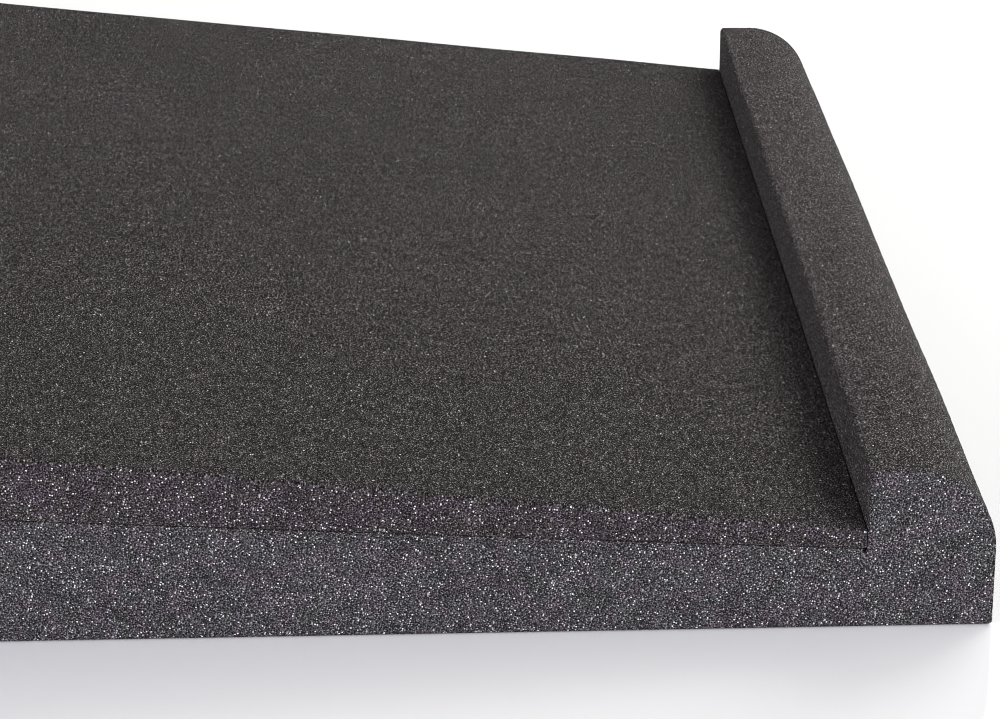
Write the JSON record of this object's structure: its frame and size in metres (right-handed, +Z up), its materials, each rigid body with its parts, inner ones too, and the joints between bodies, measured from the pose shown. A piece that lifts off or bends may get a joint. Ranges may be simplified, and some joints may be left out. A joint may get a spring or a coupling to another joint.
{
  "type": "speaker isolation pad",
  "caption": "Charcoal open-cell foam pad that a monitor speaker stands on: a base with a sloped seat and a raised rounded lip, and a loose wedge that sets the tilt.",
  "frame": {"origin": "middle of the pad's outline, on the surface it stands on", "axes": "+X towards the raised lip, +Y along the lip, +Z up"},
  "size_m": [0.33, 0.266, 0.0515],
  "materials": {
    "base_foam": "matte",
    "wedge_foam": "matte"
  },
  "bodies": {
    "root": {"base_block": "base_foam", "wedge_insert": "wedge_foam"}
  },
  "joints": []
}
